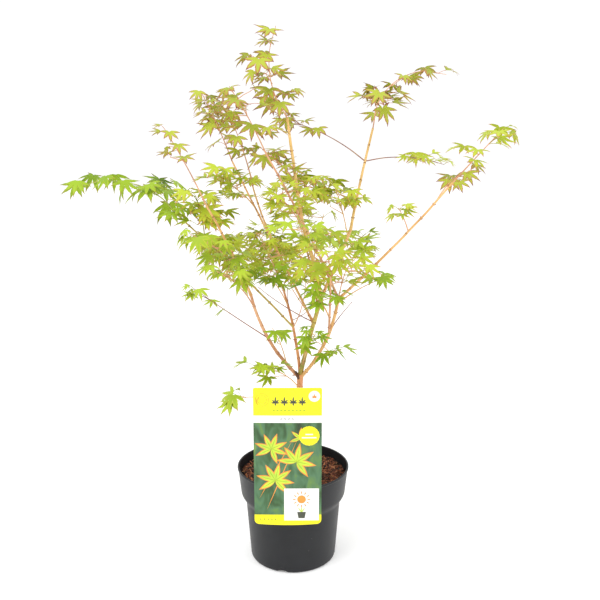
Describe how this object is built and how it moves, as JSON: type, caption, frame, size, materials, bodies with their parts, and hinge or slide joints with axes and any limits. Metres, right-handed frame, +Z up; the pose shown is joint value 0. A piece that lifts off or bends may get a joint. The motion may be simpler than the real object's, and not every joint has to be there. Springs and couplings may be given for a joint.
{
  "type": "potted japanese maple",
  "caption": "Young Japanese maple with an open, airy crown of small pointed lobed leaves on slender stems, in a round black pot of growing mix with a tall printed care label hooked on the rim.",
  "frame": {"origin": "centre of the pot's flat underside, on the surface it stands on", "axes": "+Z up along the trunk, -Y towards the side of the pot that carries the label, +X to the right as seen from that side"},
  "size_m": [0.6741, 0.5044, 0.8869],
  "materials": {
    "pot_plastic": "injection-moulded recycled polypropylene, charcoal black, semi-matt",
    "growing_mix": "loose moist bark chips and fibre, reddish brown, dull",
    "label_card": "thin printed plastic card, yellow header, green picture field, slightly glossy",
    "bark": "smooth young bark, salmon to orange, satin, with darker bud scars",
    "foliage": "thin fresh leaves, lime green, bronze towards the tips of the crown, soft sheen"
  },
  "bodies": {
    "root": {"pot": "pot_plastic", "soil": "growing_mix", "label": "label_card", "trunk": "bark", "left_bough": "bark", "left_upper": "bark", "right_bough": "bark", "right_outer": "bark", "crossing_stem": "bark", "leader_foot": "bark", "leader": "bark", "leader_upper": "bark", "centre_bough": "bark", "far_left_stem": "bark", "long_stem": "bark", "twin_stem": "bark", "right_back": "bark", "right_back_upper": "bark", "back_bough": "bark", "front_bough": "bark", "spray_left_top": "foliage", "spray_far_left": "foliage", "spray_leader_top": "foliage", "spray_high_left": "foliage", "spray_high_middle": "foliage", "spray_right_back_top": "foliage", "spray_left_arch": "foliage", "spray_right_arch": "foliage", "spray_right_tip": "foliage", "spray_crossing_top": "foliage", "spray_low_left_twig": "foliage", "spray_left_shoulder": "foliage", "spray_left_mid": "foliage", "spray_left_low": "foliage", "spray_centre_back_left": "foliage", "spray_centre_left": "foliage", "spray_leader_left": "foliage", "spray_leader_front": "foliage", "spray_leader_right": "foliage", "spray_centre_right": "foliage", "spray_right_back_mid": "foliage", "spray_right_back_low": "foliage", "spray_high_side": "foliage", "spray_right_front": "foliage", "spray_crossing_side": "foliage", "spray_right_twig": "foliage", "spray_low_right": "foliage", "spray_low_centre": "foliage", "spray_low_left": "foliage", "spray_low_front": "foliage", "spray_right_mid": "foliage", "spray_right_low": "foliage", "spray_back_top": "foliage", "spray_back_side": "foliage", "spray_back_left": "foliage", "spray_front_top": "foliage", "spray_front_left": "foliage", "spray_left_inner": "foliage", "spray_centre_low": "foliage", "spray_low_side": "foliage"}
  },
  "joints": []
}
